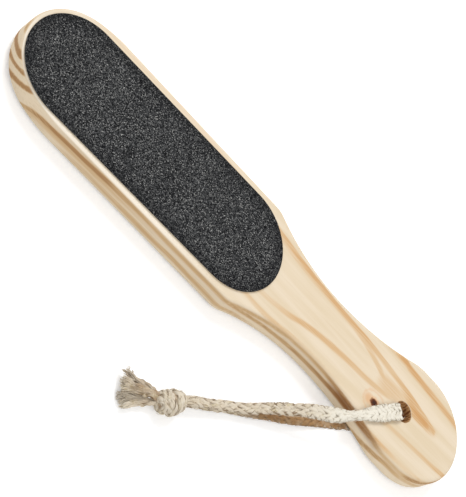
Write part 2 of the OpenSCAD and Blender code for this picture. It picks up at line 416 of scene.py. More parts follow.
def route_frame(places):
    """Direction, level line across and upward line at each place of a route."""
    direction = unit(np.gradient(places, axis=0))
    level = np.stack([-direction[:, 1], direction[:, 0], np.zeros(len(places))], axis=1)
    # In the hole the route is upright, and takes the line across of its way out
    share = fade(np.linalg.norm(level, axis=1), 0.3, 0.7)[:, None]
    across = unit(unit(level) * share + HOLE_AXES[1] * (1 - share))
    return direction, across, unit(np.cross(direction, across))


# The braid: yarns that wind both ways round an oval tube. The yarns of one way lie on top in
# every other column, which gives the rows of V marks. A wide braid winds faster than a narrow one.
YARNS_EACH_WAY = 6
YARN_CORNERS = 12
WIDE = 8.6
NARROW = 4.3
PITCH_WIDE = 14.5
PITCH_NARROW = 34.0
# The thickness and the lift of a yarn, as shares of the cord's thickness, and how full it is
YARN_THICK = 0.42
YARN_LIFT = 0.15
YARN_FILL = 0.97
# How unevenly the cord's width, a yarn's turn, its lift and its own width run, in waves of three
# lengths
WIDTH_WAVER = 0.035
TURN_WAVER = 0.034
LIFT_WAVER = 0.5
SWELL_WAVER = 0.24
WAVER_REACHES = (1.1, 2.3, 4.9)


def stadium(turn, width, height):
    """Place and outward line on a flat oval, at a share of the way round it from its top."""
    radius = height / 2
    flat = np.maximum(width - height, 0.01)
    cap = math.pi * radius
    run = (turn % 1.0) * 2 * (flat + cap)
    side = run - flat / 2
    x = np.clip(run, 0, flat / 2) - np.clip(side - cap, 0, flat)
    x = x + np.clip(side - 2 * cap - flat, 0, flat / 2)
    turned = np.clip(side, 0, cap) + np.clip(side - cap - flat, 0, cap)
    angle = math.pi / 2 - turned / radius
    return x + radius * np.cos(angle), radius * np.sin(angle), np.cos(angle), np.sin(angle)


def waver(distance, size, draw):
    """A slow uneven drift along a yarn."""
    phases = draw.uniform(0, 2 * math.pi, len(WAVER_REACHES))
    waves = [np.sin(distance / reach + phase) for reach, phase in zip(WAVER_REACHES, phases)]
    return size * sum(waves) / 2


class Braid:
    """A flat braided cord along a line: its section there, and the paths of its yarns."""

    def __init__(self, places, frame_axes, width, thick, first_turn, draw, closed=False):
        steps = np.linalg.norm(np.diff(places, axis=0), axis=1)
        self.distance = np.r_[0, np.cumsum(steps)]
        self.places, self.thick = places, thick
        self.direction, self.across, self.up = frame_axes
        self.width = width * (1 + waver(self.distance, WIDTH_WAVER, draw))
        share = fade(self.width, NARROW, WIDE)
        pitch = PITCH_NARROW + (PITCH_WIDE - PITCH_NARROW) * share
        turns = np.r_[0, np.cumsum(steps / pitch[1:])]
        if closed:
            turns = turns * max(round(turns[-1]), 1) / turns[-1]
        self.turns = first_turn + turns
        self.yarn_thick = YARN_THICK * self.thick
        self.lift_size = YARN_LIFT * self.thick
        self.inset = self.yarn_thick / 2 + self.lift_size
        girth = 2 * (self.width - self.thick) + math.pi * self.thick
        self.yarn_width = girth / YARNS_EACH_WAY * np.cos(np.arctan2(girth, pitch)) * YARN_FILL

    def yarn(self, hand, j, draw):
        """One yarn's offset from the middle of the cord, its outward line, and its lift from -1 to 1."""
        turn = hand * self.turns + (j + 0.25 * hand) / YARNS_EACH_WAY
        turn = turn + waver(self.distance, TURN_WAVER, draw)
        x, y, nx, ny = stadium(turn, self.width - 2 * self.inset, self.thick - 2 * self.inset)
        wave = hand * np.sin(math.pi * YARNS_EACH_WAY * turn)
        lift = np.tanh(1.3 * wave) + waver(self.distance, LIFT_WAVER, draw)
        rise = lift * self.lift_size
        return x + nx * rise, y + ny * rise, nx, ny, lift

    def place(self, x, y):
        return self.places + self.across * x[:, None] + self.up * y[:, None]


def route_braid(rows, first_turn, step, draw):
    route, _ = smooth_route(rows, step)
    places = route[:, :3]
    return Braid(places, route_frame(places), route[:, 3], route[:, 4], first_turn, draw)


def add_yarns(skin, cord, draw, warm, stain):
    """Adds each yarn of a cord as a soft tube. Its stain and painted shade are told the yarn's place
    across the cord.
    """
    corner = circle(YARN_CORNERS)
    # Painted shade: a yarn is pale on its crown, and dark down its flanks and below, where it lies in
    # the creases between the yarns
    crown = np.where(np.sin(corner) > 0, 0.75 - 1.3 * np.cos(corner) ** 2, -0.7)
    for hand in (1, -1):
        for j in range(YARNS_EACH_WAY):
            x, y, nx, ny, lift = cord.yarn(hand, j, draw)
            centres = cord.place(x, y)
            outward = cord.across * nx[:, None] + cord.up * ny[:, None]
            heading = unit(np.gradient(centres, axis=0))
            sideways = unit(np.cross(heading, outward))
            swell = draw.uniform(0.88, 1.12) + waver(cord.distance, SWELL_WAVER, draw)
            skin.tube(
                centres, sideways, unit(np.cross(sideways, heading)),
                cord.yarn_width / 2 * swell, cord.yarn_thick / 2 * (2 - swell), YARN_CORNERS,
                depth=np.add.outer(0.3 * lift, crown).ravel(), tint=draw.random(),
                warm=warm(cord.distance), stain=stain(cord.distance, x / cord.width),
            )


# Loose fibres: their length, how far they arch off the cotton, and their radius from root to tip
FUZZ_LENGTH = (1.2, 2.6)
FUZZ_ARCH = (0.05, 0.4)
FUZZ_RADIUS = (0.08, 0.04)
FUZZ_STEPS = 7


def add_fibre(skin, start, along, outward, draw, warm, stain):
    """Adds one loose fibre that lies nearly flat on the cotton and stands a little proud of it."""
    sideways = np.cross(along, outward)
    aside = sideways * draw.uniform(-0.5, 0.5)
    length = draw.uniform(*FUZZ_LENGTH)
    t = np.linspace(0, 1, FUZZ_STEPS)[:, None]
    arch = np.sin(t * math.pi * draw.uniform(0.6, 1.0)) * draw.uniform(*FUZZ_ARCH)
    centres = start - outward * 0.12 + (along + aside * t) * t * length + outward * arch
    radius = np.linspace(*FUZZ_RADIUS, FUZZ_STEPS)
    skin.tube(
        centres, unit(sideways), outward, radius, radius, 4,
        depth=0.8, tint=0.3, warm=warm, stain=stain,
    )


def add_fuzz(skin, cord, draw, count, warm, stain):
    """Adds loose fibres all along a cord."""
    for _ in range(count):
        i = draw.integers(4, len(cord.distance) - 5)
        x, y, nx, ny = stadium(draw.random(), cord.width[i], cord.thick[i])
        outward = cord.across[i] * nx + cord.up[i] * ny
        start = cord.places[i] + cord.across[i] * x + cord.up[i] * y
        along = cord.direction[i] * draw.choice((-1, 1))
        here = cord.distance[i]
        add_fibre(skin, start, along, outward, draw, warm(here), stain(here, x / cord.width[i]))


def cotton_material():
    """Soft cotton yarn. Each mesh says where it is warm, where it is stained or browned by painted
    shade, and how deep it lies; deep cotton between the yarns gets painted shade.
    """
    material, nodes = new_material("cotton")
    place = nodes.place_mm()
    patches = nodes.noise(place, 0.35)
    specks = nodes.noise(place, 1.3, 3.0, 0.6)
    warm = nodes.times(nodes.attribute("warm"), nodes.ramp(patches, 0.3, 0.6, 0.65, 1.0))
    tinted = nodes.times(nodes.ramp(nodes.attribute("tint"), 0.5, 0.9, 0.0, 0.8), warm)
    tinted = nodes.times(tinted, nodes.ramp(specks, 0.4, 0.65))
    # The stain value holds real brown stains, and also the painted shade that browns the lower strand's
    # top and the knot's core.
    stain = nodes.times(nodes.attribute("stain"), nodes.ramp(patches, 0.25, 0.6, 0.75, 1.0))
    # Painted shade: cotton of low depth, between and under the yarns, is darkened towards the gap
    # colour.
    gap = nodes.ramp(nodes.attribute("depth"), 0.45, -0.6, 0.0, 0.9)
    gap_shade = nodes.mix(nodes.attribute("warm"), colour(188, 178, 160), colour(136, 112, 84))
    shade = nodes.over(
        colour(231, 225, 211),
        (warm, colour(214, 201, 180)),
        (tinted, colour(188, 172, 124)),
        (stain, colour(164, 128, 88)),
        (gap, gap_shade),
        (nodes.ramp(specks, 0.58, 0.74, 0.0, 0.6), colour(176, 156, 124)),
    )
    nodes.surface(shade, 0.95, specular=0.08, sheen=0.1)
    nodes.bump(nodes.noise(place, 4.2, 3.0, 0.7), 0.12, 0.8)
    return material


cotton = cotton_material()

# How far along each strand the cord turns from white to warm, and where painted shade browns the lower
# strand's top
FRONT_WARM = (46.0, 66.0)
BACK_WARM = (16.0, 34.0)
UNDER_SHADE_STARTS = (24.0, 32.0)
UNDER_SHADE_ENDS = (98.0, 80.0)
STRAND_FUZZ = 420
# The strands leave the hole beside its axis, on the side of the edge that they cross
EXIT_X = HOLE[0] - 1.5
EXIT_Y = HOLE[1] - 1.6


def warming(places):
    """Warm cotton that starts at one place along a strand, and is complete at another."""
    return lambda distance: fade(distance, *places)


def even(value):
    """The same value all along a cord, for its warmth or for its stain and painted shade."""
    return lambda distance, share=None: value


def under_stain(distance, share):
    """The lower strand's top is browned with painted shade from the front strand and the board above it,
    and less so at its outer rim.
    """
    rim = np.clip((0.48 - share) / 0.1, 0.45, 1)
    return fade(distance, *UNDER_SHADE_STARTS) * fade(distance, *UNDER_SHADE_ENDS) * rim


def make_strand(name, node, rows, first_turn, bend_z, warm, stain, seed):
    """One free strand of the cord. It returns the piece with the strand's path, its exit and its length.
    """
    draw = np.random.default_rng(seed)
    skin = Cotton()
    cord = route_braid(rows, first_turn, STRAND_STEP, draw)
    add_yarns(skin, cord, draw, warm, stain)
    add_fuzz(skin, cord, draw, STRAND_FUZZ, warm, stain)
    route, distance = smooth_route(rows, PATH_STEP)
    path = (route[:, :3] * MM).tolist()
    exit_at = [EXIT_X * MM, EXIT_Y * MM, bend_z * MM]
    return skin.piece(name, node), path, exit_at, distance[-1] * MM


front_strand = make_strand(
    "front_strand", "cord_front_strand", FRONT_ROUTE + [knot_row(-1, 0, STRAND_END_RISE, STRAND_END)],
    first_turn=0.0, bend_z=FACE_Z, warm=warming(FRONT_WARM), stain=even(0.0), seed=31,
)
back_strand = make_strand(
    "back_strand", "cord_back_strand", BACK_ROUTE + [knot_row(-1, 0, -STRAND_END_RISE, STRAND_END)],
    first_turn=0.37, bend_z=SHEET_THICK, warm=warming(BACK_WARM), stain=under_stain, seed=32,
)


# The knot and the two frayed ends

# The half sizes of the knot and of its soft core
KNOT_HALF = np.array([6.9, 5.4, 5.2])
KNOT_CORE = np.array([6.5, 4.6, 4.4])
# Each wrap is a closed loop of the braided cord: its places, its width and its thickness
KNOT_WRAPS = (
    # The turn that the two strands of the cord run into
    (((-5.6, -3.9, 0.3), (-5.6, -2.5, 3), (-5.3, 0.4, 4), (-4.9, 3.2, 2.3), (-4.8, 3.7, -1.4),
      (-5, 0.8, -3.8), (-5.4, -2.7, -2.4)), 3.6, 2.4),
    # The broad turn beside it
    (((-2.9, -5, 1.4), (-2.7, -3.1, 4.1), (-2.2, 0.4, 5.3), (-1.9, 3.2, 4.2), (-1.7, 5, 1.3),
      (-2.1, 4.2, -2), (-2.6, 1.2, -4.3), (-3, -3, -3.4), (-3.1, -4.8, -1)), 4.6, 2.5),
    # The turn under the frayed ends, mostly covered
    (((4.4, -5.1, 0.4), (4.3, -4.2, 2.6), (4.2, -0.6, 3.7), (3.8, 3, 3), (3.4, 4.4, 0.2),
      (3.2, 3, -3), (3.6, 0, -4.1), (4, -3.6, -3)), 3.6, 2.2),
    # The turn that crosses over from the top to the table
    (((1.9, -4.9, 1.6), (2.6, -2.6, 3.9), (3.1, 0.6, 4.9), (2.9, 3.4, 4.1), (1.9, 5.5, 1.2),
      (1, 4.4, -2.8), (1, 0, -4.5), (1.2, -3.9, -2.8), (1.4, -5.1, -0.3)), 4.7, 3),
    # The small turn on the end, beside the place where the frayed ends come out
    (((6.1, 3.9, 0.4), (6, 3, 2.5), (6.2, 0.9, 3.4), (6.7, -1.4, 2.6), (7.1, -2.4, 0.4),
      (7.1, -1.4, -1.8), (6.8, 0.9, -2.7), (6.4, 3, -1.8)), 3.1, 2.7),
)
KNOT_SEED = 41
KNOT_WARM = even(0.75)
KNOT_STAIN = even(0.06)
WRAP_STEPS = 90
WRAP_FUZZ = 45


def knot_place(places):
    return KNOT_AT + HOLE_AT + places @ KNOT_AXES


def smooth_loop(points, count):
    """Even steps round a smooth closed line through the points."""
    points = np.array(points, float)
    u = np.linspace(0, len(points), count, endpoint=False)
    i = u.astype(int)
    u = (u - i)[:, None]
    a, b, c, d = (points[(i + k) % len(points)] for k in (-1, 0, 1, 2))
    return b + 0.5 * u * (c - a + u * (2 * a - 5 * b + 4 * c - d + u * (3 * (b - c) + d - a)))


def add_wrap(skin, points, width, thick, draw):
    """One soft wrap of the knot. Its points lie on the outer side of the cord."""
    line = smooth_loop(points, WRAP_STEPS)
    line = np.vstack([line, line[:1]])
    heading = unit(np.gradient(line, axis=0))
    sideways = unit(np.cross(heading, unit(line / KNOT_HALF**2)))
    outward = unit(np.cross(sideways, heading))
    places = knot_place(line - outward * thick * 0.45)
    axes = (heading @ KNOT_AXES, sideways @ KNOT_AXES, outward @ KNOT_AXES)
    whole = np.ones(len(line))
    cord = Braid(places, axes, width * whole, thick * whole, draw.random(), draw, closed=True)
    add_yarns(skin, cord, draw, KNOT_WARM, KNOT_STAIN)
    add_fuzz(skin, cord, draw, WRAP_FUZZ, KNOT_WARM, KNOT_STAIN)


def make_knot():
    """The wraps, round a soft core that closes the gaps between them."""
    draw = np.random.default_rng(KNOT_SEED)
    skin = Cotton()
    for points, width, thick in KNOT_WRAPS:
        add_wrap(skin, points, width, thick, draw)
    # The core shows only in the gaps between the wraps; it is darkened and browned there as painted
    # shade.
    along = np.linspace(-1, 1, 25)
    radius = np.sqrt(np.maximum(1 - along**2, 0.005))
    skin.tube(
        knot_place(np.outer(along, [KNOT_CORE[0], 0, 0])), KNOT_AXES[1], KNOT_AXES[2],
        KNOT_CORE[1] * radius, KNOT_CORE[2] * radius, 32,
        depth=0.1, tint=0.0, warm=1.0, stain=0.5,
    )
    return skin.piece("knot", "cord_knot")


# A frayed end is fuller than the cord. It opens from one share of its length to another, and
# its core, of a share of the cord's size, ends before its tip.
FIBRES_A_YARN = 22
FIBRE_RADIUS = 0.26
FIBRE_CORNERS = 5
FIBRE_CURL = 0.35
OPENS_FROM = 0.3
OPENS_TO = 0.95
FULL_AT_KNOT = 1.3
FULL_AT_TIP = 1.05
FULL_YARN = 1.3
CORE_SIZE = 0.24
CORE_TO = 0.75

# Stiff ends of yarn that stand off the upper frayed end: the share of its length where each
# leaves it, its heading along, out and up from the knot, and how far it stands out
STRAY_ENDS = (
    (0.84, (0, -1, 0.4), 2.9),
    (0.77, (-0.5, -1, 0.3), 1.6),
    (0.9, (0.6, -1, 0.2), 1.4),
)
STRAY_YARNS = 4
STRAY_SPREAD = 0.15
STRAY_BEND = 0.25
STRAY_RADIUS = (0.2, 0.1)
STRAY_STEPS = 8


def add_stray(skin, cord, at, heading, length, draw):
    """Adds one stiff end of yarn that stands off the side of a frayed end."""
    i = np.searchsorted(cord.distance, at * cord.distance[-1])
    start = cord.places[i] - cord.across[i] * cord.width[i] * 0.45
    along = unit(np.array(heading) @ KNOT_AXES)
    sideways = unit(np.cross(along, cord.up[i]))
    outward = np.cross(sideways, along)
    t = np.linspace(-0.4, 1, STRAY_STEPS)[:, None]
    radius = np.linspace(*STRAY_RADIUS, STRAY_STEPS)
    for _ in range(STRAY_YARNS):
        shift = sideways * draw.normal(0, STRAY_SPREAD) + outward * draw.normal(0, STRAY_SPREAD)
        bend = sideways * draw.normal(0, STRAY_BEND)
        centres = start + shift + (along + bend * t) * t * length
        skin.tube(
            centres, sideways, outward, radius, radius, FIBRE_CORNERS,
            depth=0.1, tint=0.6, warm=1.0, stain=0.1,
        )


def add_frayed_yarn(skin, cord, hand, j, loose, brown, sunk, draw):
    """Adds the fibres of one yarn, which lie together at the knot, part, and end unevenly."""
    share = cord.distance / cord.distance[-1]
    opening = np.searchsorted(share, OPENS_FROM)
    x, y, nx, ny, lift = cord.yarn(hand, j, draw)
    tint, stain, reach_share = draw.random(), draw.random() * brown, draw.uniform(0.86, 1.0)
    end_x = x[opening] / (cord.width[opening] / 2 - cord.inset[opening]) + draw.normal(0, 0.08)
    end_y = y[opening] / (cord.thick[opening] / 2 - cord.inset[opening]) + draw.normal(0, 0.2)
    for _ in range(FIBRES_A_YARN):
        swing, reach = draw.uniform(0, 2 * math.pi), math.sqrt(draw.random())
        side, rise = math.cos(swing) * reach, math.sin(swing) * reach
        own_x = x + side * cord.yarn_width * 0.45
        own_y = y + rise * cord.yarn_thick * 0.45
        far_x = np.clip(end_x + side * 0.5, -1.08, 1.08) * cord.width / 2
        far_y = np.clip(end_y + rise * 0.45, -1.0, 1.0) * cord.thick / 2
        curl = waver(cord.distance, FIBRE_CURL, draw) * loose
        fibre_x = own_x * (1 - loose) + (far_x + curl) * loose
        fibre_y = own_y * (1 - loose) + (far_y + curl * 0.3) * loose
        keep = share <= reach_share * draw.uniform(0.9, 1.04)
        radius = FIBRE_RADIUS * (1 - 0.45 * loose[keep])
        # Painted shade: fibres inside a bundle and on its inner side are darker, loose ones paler, and
        # sunk darkens a whole end that lies in the knot's shade.
        deep = 0.6 * lift * (1 - loose) + 0.5 * (side * nx + rise * ny) + 0.85 * loose - sunk
        skin.tube(
            cord.place(fibre_x, fibre_y)[keep], cord.across[keep], cord.up[keep],
            radius, radius, FIBRE_CORNERS, depth=deep[keep], tint=tint,
            warm=1 - 0.3 * loose[keep], stain=stain * (1 - 0.55 * loose[keep]),
        )


def make_tail(name, node, rows, aside, brown, sunk, strays, first_turn, seed):
    """A frayed end: braided at the knot, then open. It can bend aside, be browned, and carry painted
    shade.
    """
    draw = np.random.default_rng(seed)
    skin = Cotton()
    cord = route_braid(rows, first_turn, TAIL_STEP, draw)
    share = cord.distance / cord.distance[-1]
    cord.places = cord.places + cord.across * aside * np.sin(share * math.pi / 2)[:, None]
    cord.width = cord.width * (FULL_AT_KNOT + (FULL_AT_TIP - FULL_AT_KNOT) * share)
    cord.yarn_width = cord.yarn_width * FULL_YARN
    loose = fade(share, OPENS_FROM, OPENS_TO)
    loose = loose * loose * (3 - 2 * loose)
    core = share < CORE_TO
    slim = CORE_SIZE * np.sqrt(np.clip(1 - (share / CORE_TO) ** 3, 0.01, 1))
    # The core shows between the fibres, darkened there as painted shade.
    skin.tube(
        cord.places[core], cord.across[core], cord.up[core],
        (cord.width * slim)[core], (cord.thick * slim)[core], 12,
        depth=0.0, tint=0.2, warm=1.0, stain=0.2,
    )
    for hand in (1, -1):
        for j in range(YARNS_EACH_WAY):
            add_frayed_yarn(skin, cord, hand, j, loose, brown, sunk, draw)
    for at, heading, length in strays:
        add_stray(skin, cord, at, heading, length, draw)
    return skin.piece(name, node)


knot = make_knot()
upper_tail = make_tail(
    "upper_tail", "cord_upper_tail",
    [knot_row(*UPPER_TAIL_AT, TAIL_END)] + UPPER_TAIL_ROUTE,
    aside=0.2, brown=0.7, sunk=0.45, strays=STRAY_ENDS, first_turn=0.1, seed=3,
)
lower_tail = make_tail(
    "lower_tail", "cord_lower_tail",
    [knot_row(*LOWER_TAIL_AT, TAIL_END)] + LOWER_TAIL_ROUTE,
    aside=-1.0, brown=0.25, sunk=0.05, strays=(), first_turn=0.4, seed=5,
)


# The board. Its outline is a chain of arcs, with X from the tip of the head.

HEAD_HALF = 30.75
TIP_RADIUS = 29.5
CHEEK_RADIUS = 60.0
SHOULDER_X = 136.0
SHOULDER_RADIUS = 11.5
NECK_HALF = 18.5
NECK_X = 187.5
BUTT_HALF = 27.75
BUTT_X = 244.25
BUTT_RUN = 6.0
EDGE_RADIUS = 2.0
EDGE_STEPS = 8
OUTLINE_STEP = 1.0
# The stretch of the hole's mouth that the drill tore, as an angle round the hole
TORN_AT = math.radians(325)
TORN_SPREAD = math.radians(35)
HOLE_CORNERS = 96
# Heights in the hole, and how far its wall flares there
HOLE_LEVELS = ((0.0, 0.25), (0.3, 0.0), (2.0, 0.0), (5.5, 0.0), (9.0, 0.0), (10.7, 0.0), (11.0, 0.25))
HOLE_SEED = 11


def board_outline(inset):
    """The board's outline, moved in by the given inset. The counts follow the outer outline."""
    cheek_x = TIP_RADIUS + math.sqrt((CHEEK_RADIUS - TIP_RADIUS)**2 - (CHEEK_RADIUS - HEAD_HALF)**2)
    cheek_y = HEAD_HALF - CHEEK_RADIUS
    cheek_from = math.atan2(-cheek_y, TIP_RADIUS - cheek_x)
    shoulder_y = HEAD_HALF - SHOULDER_RADIUS
    run, drop = NECK_X - SHOULDER_X, NECK_HALF - shoulder_y
    waist = (run**2 + drop**2 - SHOULDER_RADIUS**2) / (2 * (HEAD_HALF - NECK_HALF))
    shoulder_to = math.atan2(drop + waist, run)
    reach = BUTT_X - NECK_X
    grip = (reach**2 + NECK_HALF**2 - BUTT_HALF**2) / (2 * (BUTT_HALF - NECK_HALF))
    butt_from = math.atan2(NECK_HALF + grip, -reach)
    half_turn, quarter_turn = math.pi, math.pi / 2
    # Each arc's centre, radius, side on which it is filled, and first and last angle
    arcs = [
        ((TIP_RADIUS, 0), TIP_RADIUS, -1, half_turn, cheek_from),
        ((cheek_x, cheek_y), CHEEK_RADIUS, -1, cheek_from, quarter_turn),
        ((SHOULDER_X, shoulder_y), SHOULDER_RADIUS, -1, quarter_turn, shoulder_to),
        ((NECK_X, NECK_HALF + waist), waist, 1, half_turn + shoulder_to, 3 * quarter_turn),
        ((NECK_X, NECK_HALF + grip), grip, 1, 3 * quarter_turn, half_turn + butt_from),
        ((BUTT_X, 0), BUTT_HALF, -1, butt_from, quarter_turn),
        ((BUTT_X + BUTT_RUN, 0), BUTT_HALF, -1, quarter_turn, 0),
    ]
    upper = []
    for centre, radius, sign, start, end in arcs:
        count = max(int(abs(end - start) * radius / OUTLINE_STEP), 2)
        angles = start + (end - start) * np.arange(count) / count
        ring = np.stack([np.cos(angles), np.sin(angles)], axis=1) * (radius + sign * inset)
        upper.append(np.array(centre) + ring)
        if radius == CHEEK_RADIUS:
            # The straight side of the head
            xs = np.arange(cheek_x, SHOULDER_X, 2 * OUTLINE_STEP)
            upper.append(np.stack([xs, np.full(len(xs), HEAD_HALF - inset)], axis=1))
    upper.append(np.array([[BUTT_X + BUTT_RUN + BUTT_HALF - inset, 0.0]]))
    upper = np.vstack(upper)
    lower = upper[1:-1][::-1] * [1, -1]
    return np.vstack([upper, lower]) - [BOARD_LENGTH / 2, 0]


def board_rings(bm):
    """Rings up the board's side and round its edges."""
    rings = []
    for top in (0, 1):
        for i in range(EDGE_STEPS + 1):
            angle = math.pi / 2 * (EDGE_STEPS - i if top else i) / EDGE_STEPS
            inset = EDGE_RADIUS * (1 - math.sin(angle))
            rise = EDGE_RADIUS * (1 - math.cos(angle))
            z = SHEET_THICK + (BOARD_THICK - rise if top else rise)
            rings.append([bm.verts.new((x * MM, y * MM, z * MM)) for x, y in board_outline(inset)])
    return rings


def hole_rings(bm):
    """Rings down the wall of the hole. The drill left both mouths slightly chipped."""
    draw = np.random.default_rng(HOLE_SEED)
    angles = circle(HOLE_CORNERS)
    rough = np.convolve(np.tile(draw.random(HOLE_CORNERS), 3), np.ones(3) / 3, "same")
    torn = np.exp(-((angles - TORN_AT) / TORN_SPREAD) ** 2)
    chips = np.clip((rough[HOLE_CORNERS:2 * HOLE_CORNERS] - 0.55) * 3, 0, 1) * (0.2 + 0.9 * torn)
    rings = []
    for rise, flare in HOLE_LEVELS:
        radius = HOLE_RADIUS + flare + chips * (flare > 0)
        xs, ys = HOLE[0] + radius * np.cos(angles), HOLE[1] + radius * np.sin(angles)
        rings.append([bm.verts.new((x * MM, y * MM, (SHEET_THICK + rise) * MM)) for x, y in zip(xs, ys)])
    return rings


def ring_edges(ring):
    pairs = zip(ring, ring[1:] + ring[:1])
    return [next(edge for edge in a.link_edges if edge.other_vert(a) == b) for a, b in pairs]


def bridge(bm, rings, flip=False):
    """Joins closed rings with walls."""
    for low, high in zip(rings, rings[1:]):
        for k in range(len(low)):
            corners = [low[k - 1], low[k], high[k], high[k - 1]]
            bm.faces.new(corners[::-1] if flip else corners)


def make_board():
    """The board with its rounded edges and the hole, closed all round."""
    bm = bmesh.new()
    rings = board_rings(bm)
    bridge(bm, rings)
    mouth = hole_rings(bm)
    bridge(bm, mouth, flip=True)
    for outer, inner in ((rings[0], mouth[0]), (rings[-1], mouth[-1])):
        bmesh.ops.triangle_fill(bm, edges=ring_edges(outer) + ring_edges(inner), use_beauty=True)
        for edge in ring_edges(outer) + ring_edges(inner):
            edge.smooth = False
    bmesh.ops.recalc_face_normals(bm, faces=bm.faces)
    for face in bm.faces:
        face.smooth = True
    mesh = bpy.data.meshes.new("board")
    bm.to_mesh(mesh)
    bm.free()
    return place_piece("board", mesh, pine, "paddle", "wooden_paddle")


# Growth rings as they show on the board. Each stroke is the places that it runs through, its
# strength along the board, and how far it fades on its low side and on its high side.
TOP_STROKES = (
    # The ring that ends in a point past the hole
    (((-60, 29), (-20, 25.5), (7, 20.4), (27, 17.2), (47, 15), (69, 13.8), (87, 11.6), (96, 10.2),
      (105, 8.6), (113, 6.9), (123, 4)),
     ((-60, 0.3), (-10, 0.5), (10, 0.8), (27, 0.9), (60, 0.9), (87, 0.7), (105, 0.85), (121, 0.8),
      (123, 0)),
     4, 1.5),
    (((-60, 26.5), (-20, 23), (7, 18), (27, 15.2), (47, 13.2)),
     ((-60, 0.2), (0, 0.45), (20, 0.5), (47, 0)), 2.4, 2.4),
    (((90, 9.2), (100, 7), (109, 4.3), (114, 3.6), (118, 3.4), (125, 3.6)),
     ((90, 0), (99, 0.6), (108, 1), (114, 1), (119, 0.7), (125, 0)), 4.4, 4.2),
    (((102, 2), (110, 2), (117, 2.8), (123, 3.8)),
     ((102, 0), (107, 0.85), (115, 0.9), (120, 0.5), (123, 0)), 3, 3.4),
    # The ring that ends before the hole, and the stained wood ahead of its point
    (((20, 16), (44, 14.3), (55, 13.2), (64, 11.8), (72, 9.6), (80, 6.4), (86, 3.4), (92, 0.8)),
     ((20, 0), (44, 0.3), (60, 0.5), (75, 0.6), (86, 0.6), (92, 0)), 2, 3.6),
    (((-60, -19), (-20, -15.5), (12, -12.9), (27, -10.9), (36, -8.4), (45, -6.4), (55, -5),
      (66, -4.2), (77, -3.8), (85, -2.9), (91, -1.6), (97, 0.4)),
     ((-60, 0.4), (12, 0.4), (25, 0.6), (35, 0.8), (60, 0.8), (78, 0.7), (90, 0.6), (97, 0)),
     2.6, 2.4),
    (((80, 2.6), (95, 3), (112, 3.6)), ((80, 0), (90, 0.58), (98, 0.5), (106, 0.3), (112, 0)),
     8, 7),
    # Straighter rings along both edges
    (((76, 21), (91, 22), (96, 21.2), (105, 20.4), (114, 19.6), (123, 18.4), (139, 15.6)),
     ((76, 0), (84, 0.5), (95, 1), (108, 1), (118, 0.85), (131, 0.9), (139, 0.6)), 3.6, 2.4),
    (((86, -15.2), (96, -14), (107, -13.3), (118, -12.6), (127, -12), (139, -10.6)),
     ((86, 0), (97, 0.45), (115, 0.55), (127, 0.7), (134, 0.85), (139, 0.8)), 2.2, 1.7),
    (((-80, -25), (-40, -23.5), (4, -20), (14, -20.5), (24, -19.8), (40, -17.6), (70, -17), (92, -19)),
     ((-80, 0.4), (5, 0.55), (22, 0.6), (40, 0.35), (60, 0.2), (92, 0)), 2.4, 1.8),
    (((56, -19.8), (68, -21.4), (82, -24.4), (100, -25.4), (118, -24.8), (129, -21.6), (139, -17)),
     ((56, 0), (66, 0.9), (82, 0.95), (100, 0.7), (116, 0.3), (129, 0.6), (139, 0.6)), 2.4, 2),
)
SIDE_STROKES = (
    # The dark line under the top edge
    (((-121, 0.4), (-117, 3.6), (-113, 6.1), (-106, 8.2), (-100, 8.8), (-86, 9.5), (-73, 10.1),
      (-40, 10.7), (2, 10.9), (30, 11.4), (60, 11.3), (84, 10.6), (97, 10.4), (139, 10.4)),
     ((-121, 0.5), (-116, 0.7), (-106, 1.05), (-86, 1.1), (-66, 0.8), (-30, 0.65), (0, 0.65), (40, 0.6),
      (70, 0.9), (95, 0.6), (112, 0.45), (121, 0.95), (131, 0.9), (139, 0.4)),
     2.4, 1.8),
    # The amber wood on either side of it along the head
    (((-118, 3), (-113, 5.8), (-106, 7.6), (-86, 8.9), (-66, 9.8), (-30, 10.5)),
     ((-118, 0), (-111, 0.5), (-86, 0.55), (-66, 0.45), (-30, 0)), 5, 3.2),
    # The lower ring. Past the neck it runs faintly down to the bottom edge, where it is painted shade.
    (((-102, 2.8), (-88, 4), (-70, 4.8), (-46, 4.8), (-26, 5.4), (0, 5.2), (12, 4), (24, 2.6),
      (60, 1.6)),
     ((-102, 0), (-86, 0.4), (-60, 0.55), (-30, 0.6), (0, 0.55), (12, 0.4), (24, 0.15), (60, 0.1)),
     2.4, 2),
    # The long lens along the neck
    (((-2, 11.2), (4, 9.8), (10, 8.6), (20, 7.6), (32, 6.9), (45, 6.7), (56, 6.9), (66, 7.3),
      (76, 7.7), (86, 8.8), (98, 11)),
     ((-2, 0), (2, 0.7), (20, 0.75), (45, 0.85), (60, 0.95), (72, 1), (86, 0.95), (96, 0.6), (98, 0)),
     2, 1.9),
    # The ring that crosses the side of the butt
    (((78, 0.4), (86, 1.7), (92, 3.2), (100, 6.2), (110, 8), (120, 7.6), (130, 5.8), (139, 5)),
     ((78, 0), (84, 0.7), (98, 0.8), (110, 0.7), (120, 0.5), (130, 0.6), (139, 0.6)), 2.4, 2.2),
)
# The darkest patch on the side, along a line above the lens, beside the cord
SIDE_DARK_PATCH = (
    ((60, 8.4), (70, 8.8), (82, 9.2), (92, 9.9), (102, 10.6)),
    ((60, 0), (66, 0.6), (73, 0.95), (80, 0.75), (90, 0.6), (97, 0.3), (102, 0)),
    3.6, 2.8,
)
# Rings cut across at the round end of the head: their places on a slanted line, and strengths
END_RINGS = (
    (-160, 0.1), (-152, 0.1), (-148.5, 0.7), (-146, 0.1), (-141.6, 0.1), (-139, 1.3), (-136.4, 0.35),
    (-135, 0), (-133, 0.1), (-131, 1.1), (-128.8, 0.1), (-126.2, 0.1), (-123, 1.2),
    (-120.2, 0.1), (-116, 0), (-110, 0), (-100, 0),
)
PIN_KNOT = (85.7, -10.7)
PIN_KNOT_GLOW = (82.3, -10.9)


